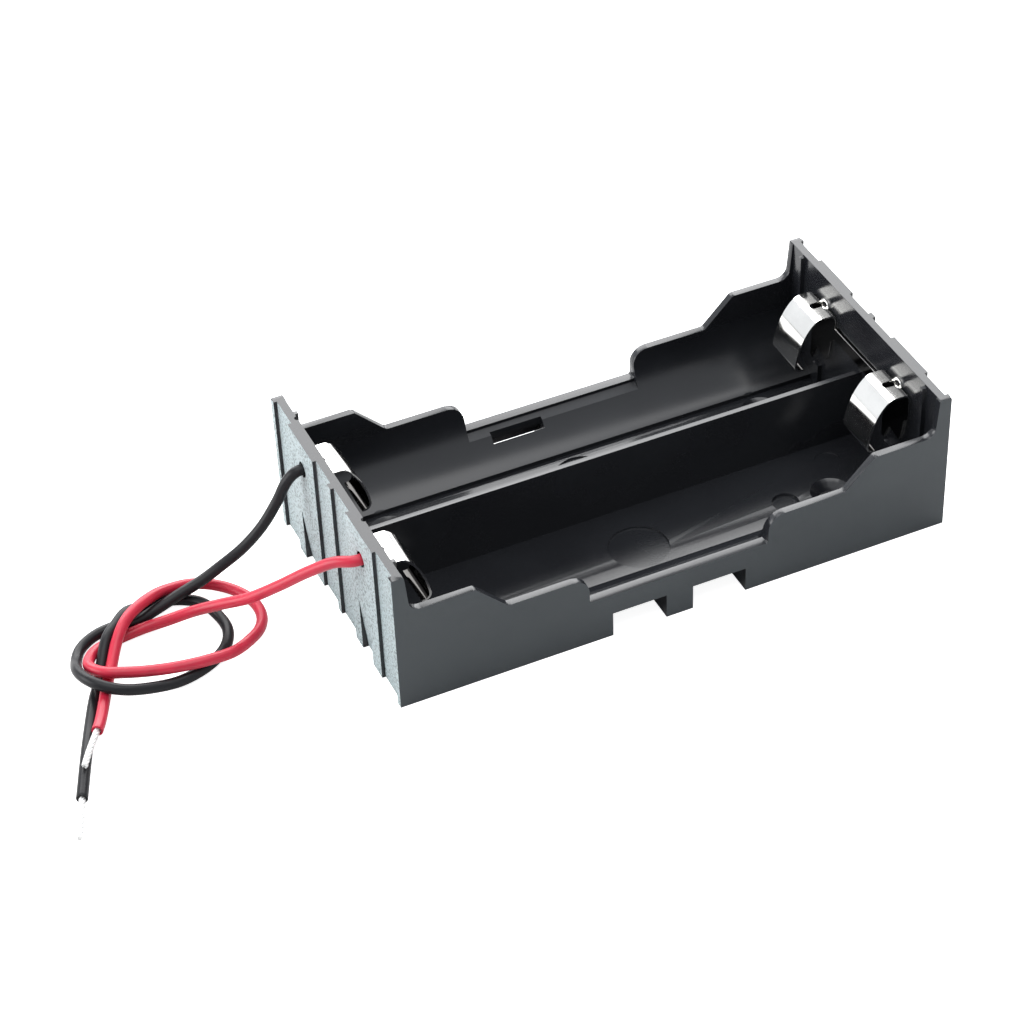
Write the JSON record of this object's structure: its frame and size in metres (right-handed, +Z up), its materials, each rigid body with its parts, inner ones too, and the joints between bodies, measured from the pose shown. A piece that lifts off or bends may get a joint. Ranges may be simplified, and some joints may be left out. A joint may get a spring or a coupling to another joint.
{
  "type": "cylindrical cell holder",
  "caption": "Open tray holder for cylindrical cells side by side in series, with leaf spring contacts at the ends and a pair of loosely knotted leads.",
  "frame": {"origin": "middle of the case's underside, where it rests on a surface", "axes": "+X along the cells, away from the lead end; +Z up, out of the open top; +Y towards the bay of the black lead"},
  "size_m": [0.1217, 0.0439, 0.021],
  "materials": {
    "black_plastic": "satin moulded black polypropylene",
    "nickel_strip": "bright nickel plated spring strip",
    "tinned_metal": "dull tin and solder",
    "black_insulation": "soft black vinyl",
    "red_insulation": "soft red vinyl"
  },
  "bodies": {
    "root": {"case": "black_plastic", "contact_black": "nickel_strip", "contact_red": "nickel_strip", "contact_bridge": "nickel_strip", "solder_black": "tinned_metal", "solder_red": "tinned_metal", "lead_black": "black_insulation", "lead_red": "red_insulation", "tip_black": "tinned_metal", "tip_red": "tinned_metal"}
  },
  "joints": []
}
